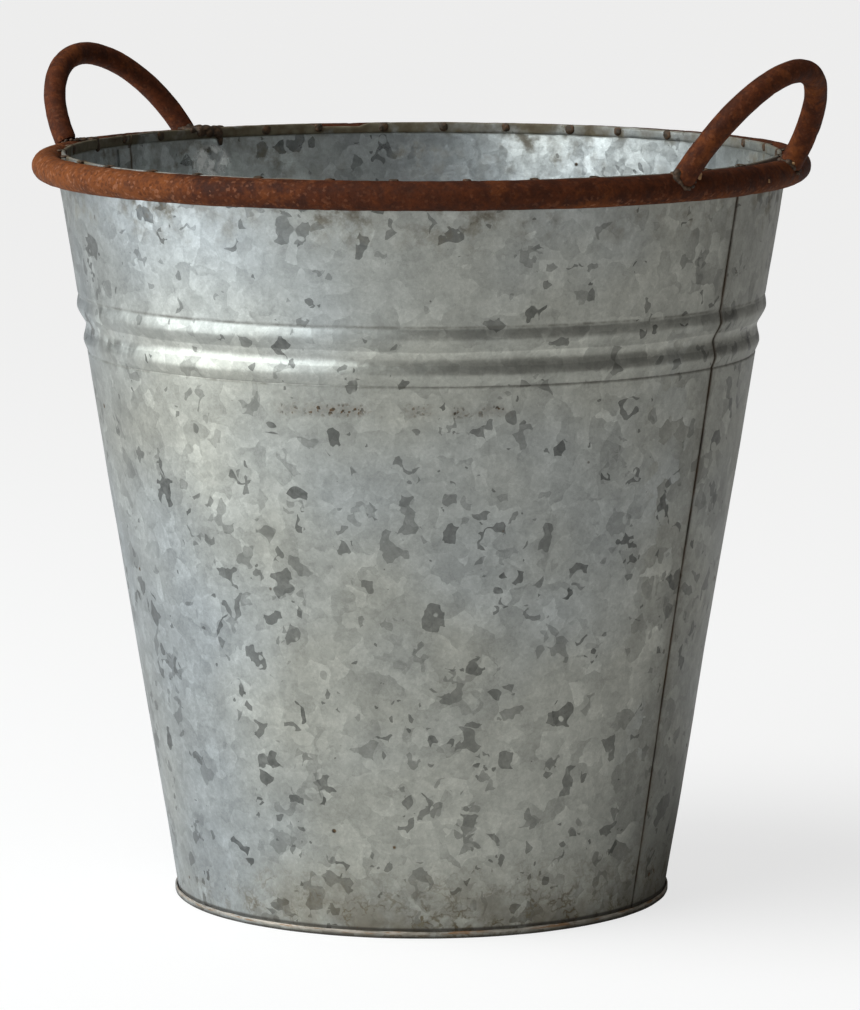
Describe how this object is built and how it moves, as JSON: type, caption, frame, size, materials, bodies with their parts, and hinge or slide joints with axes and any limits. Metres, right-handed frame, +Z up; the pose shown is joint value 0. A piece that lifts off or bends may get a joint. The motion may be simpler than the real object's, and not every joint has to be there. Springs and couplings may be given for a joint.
{
  "type": "florist bucket",
  "caption": "Tapered round galvanized sheet bucket with two swaged beads, rusted rod rim ring and two outward-leaning welded rod loop handles, for cut flowers.",
  "frame": {"origin": "centre of the bucket's footprint, on the floor it stands on", "axes": "+Z up along the bucket's axis; +X towards the right handle, which stands over one side seam; +Y towards the back of the pail"},
  "size_m": [0.3739, 0.33, 0.3635],
  "materials": {
    "galvanized_sheet": "weathered hot-dip spangle, satin",
    "rusted_steel": "evenly rusted, matte",
    "weld_metal": "oxidised weld bead, matte"
  },
  "bodies": {
    "root": {"bottom_pan": "galvanized_sheet", "handle_left": "rusted_steel", "handle_right": "rusted_steel", "rim_ring": "rusted_steel", "rim_tack_01": "weld_metal", "rim_tack_02": "weld_metal", "rim_tack_03": "weld_metal", "rim_tack_04": "weld_metal", "rim_tack_05": "weld_metal", "rim_tack_06": "weld_metal", "rim_tack_07": "weld_metal", "rim_tack_08": "weld_metal", "rim_tack_09": "weld_metal", "rim_tack_10": "weld_metal", "rim_tack_11": "weld_metal", "rim_tack_12": "weld_metal", "rim_tack_13": "weld_metal", "rim_tack_14": "weld_metal", "rim_tack_15": "weld_metal", "rim_tack_16": "weld_metal", "rim_tack_17": "weld_metal", "rim_tack_18": "weld_metal", "rim_tack_19": "weld_metal", "rim_tack_20": "weld_metal", "rim_tack_21": "weld_metal", "rim_tack_22": "weld_metal", "rim_tack_23": "weld_metal", "rim_tack_24": "weld_metal", "rim_tack_25": "weld_metal", "rim_tack_26": "weld_metal", "rim_tack_27": "weld_metal", "rim_tack_28": "weld_metal", "rim_tack_29": "weld_metal", "rim_tack_30": "weld_metal", "wall_back": "galvanized_sheet", "wall_front": "galvanized_sheet", "weld_left_a": "weld_metal", "weld_left_b": "weld_metal", "weld_right_a": "weld_metal", "weld_right_b": "weld_metal"}
  },
  "joints": []
}
